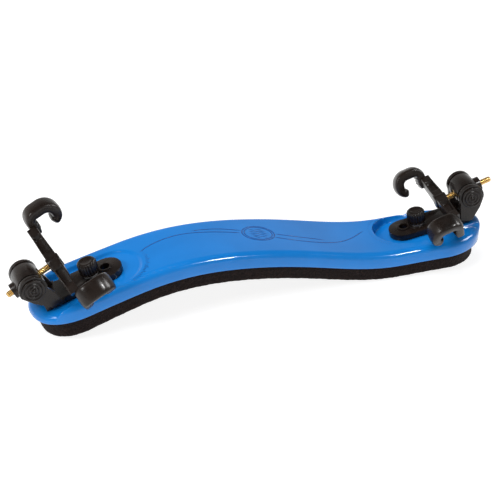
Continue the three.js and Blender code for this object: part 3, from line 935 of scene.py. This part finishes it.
def crossbar(side):
    """The yoke: an I-shaped bar cut flush with both claws, a round hub and tongues into the claws."""
    place = FRAMES[side]["fork"]
    loops = []
    for i in range(BAR_STEPS + 1):
        y = mix(-BAR_END, BAR_END, i / BAR_STEPS)
        loops.append([(x, y, z) for x, z in arm_section(y)])
    points, faces = skin(loops)
    bar = mesh_object(f"{side}_fork_yoke", points, faces, place)
    flush = []
    for sign in (-1, 1):
        beyond = sorted((-sign * (CLAW_HALF_WIDTH + GAP), sign * CLAW_Y))
        flush.append(cutter_box(((-9, 9), beyond, (-20, 20)), claw_place(side, sign)))
    boolean(bar, flush)
    hub_profile = [
        (3.0, -HUB_HALF_LENGTH),
        (3.35, -3.2),
        (HUB_RADIUS, -2.9),
        (HUB_RADIUS, 2.9),
        (3.35, 3.2),
        (3.0, HUB_HALF_LENGTH),
    ]
    adds = [mesh_object("hub", *turned(hub_profile, "X"), place)]
    for sign in (-1, 1):
        ends = sorted((sign * TONGUE_START, sign * TONGUE_END))
        adds.append(cutter_box((TONGUE_X, ends, TONGUE_Z), place))
    boolean(bar, adds, "UNION")
    boolean(bar, [cutter_rod(SOCKET_RADIUS, SOCKET_START, SOCKET_END, "X", place)])
    shade(bar, SHARP_ANGLE)
    return own(bar, f"{side}_fork", "black_plastic", "black_plastic", f"{side}_yoke")


def arc(centre_x, centre_z, radius, first, last, shares):
    """Points and headings on an arc in XZ, at shares of the way between two angles in degrees."""
    rows = []
    for share in shares:
        angle = mix(first, last, share)
        a = math.radians(angle)
        rows.append((centre_x + radius * math.cos(a), centre_z + radius * math.sin(a), angle - 90))
    return rows


def shares(steps):
    return [i / steps for i in range(steps)]


def claw_path():
    """Points and headings of a claw's middle line in XZ: seat, wall and hooked lip."""
    bend_x, bend_z = SEAT_X + BEND_RADIUS, WALL_Z - BEND_RADIUS
    tighter = HOOK_RADIUS - TIP_RADIUS
    hook = math.radians(HOOK_ANGLE)
    tip_x, tip_z = WALL_X + tighter * math.cos(hook), WALL_Z - HOOK_RADIUS + tighter * math.sin(hook)
    path = [(SEAT_X, mix(SEAT_START, bend_z, share), 90) for share in shares(SEAT_STEPS)]
    path += arc(bend_x, bend_z, BEND_RADIUS, 180, 90, shares(BEND_STEPS))
    path += [(mix(bend_x, WALL_X, share), WALL_Z, 0) for share in shares(WALL_STEPS)]
    path += arc(WALL_X, WALL_Z - HOOK_RADIUS, HOOK_RADIUS, 90, HOOK_ANGLE, shares(HOOK_STEPS))
    path += arc(tip_x, tip_z, TIP_RADIUS, HOOK_ANGLE, TIP_ANGLE, [*shares(TIP_STEPS), 1])
    return path


def claw_section(half_width, outer, inner, crown, sides=28):
    """A rounded section: half-width across, thickness on the outer and inner face."""
    ring = []
    for j in range(sides):
        angle = 2 * math.pi * j / sides
        c, s = math.cos(angle), math.sin(angle)
        across = half_width * math.copysign(abs(c) ** CLAW_SQUARENESS, c)
        reach = outer - crown * (across / half_width) ** 2 if s > 0 else inner
        out = reach * math.copysign(abs(s) ** CLAW_SQUARENESS, s)
        ring.append((across, out))
    return ring


def claw_ring(station, along, total, shrink=1, push=0.0):
    """The claw's section at a station of its path, shrunk and pushed on to round off its ends."""
    x, z, heading = station
    a = math.radians(heading)
    ahead, out_of_mouth = (math.cos(a), math.sin(a)), (-math.sin(a), math.cos(a))
    narrowing = CLAW_NARROWING * smoothstep(total - CLAW_NARROWING_LENGTH, total, along)
    half_width = CLAW_HALF_WIDTH * (1 - narrowing) * shrink
    thickness = CLAW_HALF_THICKNESS * shrink
    lining_end = smoothstep(total - LINING_END, total, along)
    lining = LINING * smoothstep(LINING_START, LINING_FULL, along) * (1 - lining_end)
    if TEETH_START < along < TEETH_END:
        lining += TOOTH_HEIGHT * ((along - TEETH_START) / TOOTH_PITCH % 1)
    section = claw_section(half_width, thickness, thickness + lining * shrink, CLAW_CROWN * shrink)
    ring = []
    for across, out in section:
        ring.append((
            x + out_of_mouth[0] * out + ahead[0] * push,
            across,
            z + out_of_mouth[1] * out + ahead[1] * push,
        ))
    return ring


def claw_sleeve(side, label):
    """A rubber claw: a rounded strip along the hooked path, with teeth on its seat."""
    path = claw_path()
    lengths = [0]
    for (x0, z0, _), (x1, z1, _) in zip(path, path[1:]):
        lengths.append(lengths[-1] + math.hypot(x1 - x0, z1 - z0))
    total = lengths[-1]
    loops = []
    for shrink, push in ((0.78, 0.0), (0.92, 0.12), (0.98, 0.4)):
        loops.append(claw_ring(path[0], 0, total, shrink, push))
    for station, along in list(zip(path, lengths))[1:]:
        loops.append(claw_ring(station, along, total))
    for angle in (15, 30, 45, 60, 75, 86):
        a = math.radians(angle)
        push = CLAW_HALF_THICKNESS * math.sin(a) * 0.95
        loops.append(claw_ring(path[-1], total, total, math.cos(a), push))
    points, faces = skin(loops)
    place = claw_place(side, y_sign(side, label))
    claw = mesh_object(f"{side}_{label}_rubber_claw", points, faces, place, sharp=55)
    return own(claw, f"{side}_fork", "claw_rubber", "claw_rubber", f"{side}_{label}_claw_sleeve")


# ---- One end ----

# The small inner pieces keep their CAD shape and only get a finish.
INNER_FINISHES = {
    "clamp_bolt": "steel",
    "knob_washer": "steel",
    "knob_insert": "brass",
    "barrel_bush": "brass",
    "near_pivot_washer": "nylon",
    "far_pivot_washer": "nylon",
}


def build_end(side):
    bracket = softened(f"{side}_bracket", 0.45, f"{side}_clamp_bracket")
    own(bracket, f"{side}_bracket", "black_plastic", "black_plastic", f"{side}_bracket")
    barrel = softened(f"{side}_pivot_barrel", 0.4, f"{side}_drum_barrel")
    own(barrel, f"{side}_barrel", "black_plastic", "black_plastic", f"{side}_pivot_barrel")
    thumb_knob(side)
    threaded_shank(side)
    crossbar(side)
    for label in ("near", "far"):
        pivot_plug(side, label)
        claw_sleeve(side, label)
    for node, material in INNER_FINISHES.items():
        for slot in frame["nodes"][f"{side}_{node}"].material_slots:
            slot.material = MATERIALS[material]


body_shell()
line_art()
tick_marks()
foam_pad()
for end in SIDES:
    build_end(end)

# ---- Floor, light and camera ----


def pale_floor():
    spots = [mix(-FLOOR_HALF, FLOOR_HALF, i / FLOOR_CELLS) for i in range(FLOOR_CELLS + 1)]
    points = [(x, y, FLOOR_Z) for y in spots for x in spots]
    row = len(spots)
    faces = []
    for j in range(FLOOR_CELLS):
        for i in range(FLOOR_CELLS):
            corner = j * row + i
            faces.append((corner, corner + 1, corner + row + 1, corner + row))
    floor = mesh_object("floor", points, faces, Matrix.Identity(4))
    m = Nodes("pale_floor")
    grey, pale_grey = (0.36, 0.36, 0.36), (0.4, 0.4, 0.4)
    m.link(m.ramp(m.noise(3, 2), (0.3, grey), (0.7, pale_grey)), m.shader.inputs["Base Color"])
    m.set(Roughness=0.9, Specular_IOR_Level=0.1)
    m.set(Emission_Color=(1, 1, 1, 1), Emission_Strength=0.86)
    floor.data.materials.append(m.material)


def area_light(name, place, target, size, power, diffuse=True, glossy=True):
    """A rectangular lamp that shines from one point to another, in metres and watts."""
    light = bpy.data.lights.new(name, "AREA")
    light.shape = "RECTANGLE"
    light.size, light.size_y = size
    light.energy = power
    lamp = new_object(name, light)
    lamp.location = place
    lamp.visible_diffuse = diffuse
    lamp.visible_glossy = glossy
    lamp.rotation_euler = (Vector(target) - Vector(place)).to_track_quat("-Z", "Y").to_euler()


def lights():
    area_light("softbox_above", (-0.15, 0.1, 0.9), (0, 0, 0), (0.7, 0.5), 6, glossy=False)
    area_light("softbox_left", (-0.8, -0.2, 0.6), (0, 0, 0), (0.3, 0.3), 3)
    area_light("strip_front", (0.22, -0.36, 0.6), (0.06, 0, 0.02), (0.08, 0.04), 3, diffuse=False)
    area_light("softbox_right", (0.75, -0.1, 0.6), (0, 0, 0), (0.3, 0.3), 4.5, diffuse=False)


def surroundings():
    """A warm white world that is bright near the horizon and dimmer overhead."""
    world = bpy.data.worlds.new("studio")
    world.use_nodes = True
    tree = world.node_tree
    background = tree.nodes["Background"]
    background.inputs["Strength"].default_value = SKY_STRENGTH
    direction = tree.nodes.new("ShaderNodeTexCoord")
    split = tree.nodes.new("ShaderNodeSeparateXYZ")
    sky = tree.nodes.new("ShaderNodeValToRGB")
    tree.links.new(direction.outputs["Generated"], split.inputs["Vector"])
    tree.links.new(split.outputs["Z"], sky.inputs["Fac"])
    tree.links.new(sky.outputs["Color"], background.inputs["Color"])
    elements = sky.color_ramp.elements
    while len(elements) < len(SKY_STOPS):
        elements.new(0.5)
    for element, (height, level) in zip(elements, SKY_STOPS):
        element.position = height
        element.color = (level, level * 0.985, level * 0.955, 1)
    bpy.context.scene.world = world
    bpy.context.scene.view_settings.view_transform = "Standard"


def camera():
    target = (SHIFT + Vector(LOOK_AT)) * MM
    azimuth, elevation = math.radians(VIEW_AZIMUTH), math.radians(VIEW_ELEVATION)
    roll = math.radians(VIEW_ROLL)
    back = Vector((
        math.sin(azimuth) * math.cos(elevation),
        -math.cos(azimuth) * math.cos(elevation),
        math.sin(elevation),
    ))
    level = Vector((math.cos(azimuth), math.sin(azimuth), 0))
    upright = back.cross(level)
    right = level * math.cos(roll) + upright * math.sin(roll)
    data = bpy.data.cameras.new("camera")
    data.sensor_width = SENSOR_WIDTH
    data.lens = FOCAL_LENGTH
    data.clip_start = 0.01
    eye = new_object("camera", data)
    eye.matrix_world = placed(right, back.cross(right), back, target + back * (VIEW_DISTANCE * MM))
    bpy.context.scene.camera = eye


pale_floor()
lights()
surroundings()
camera()
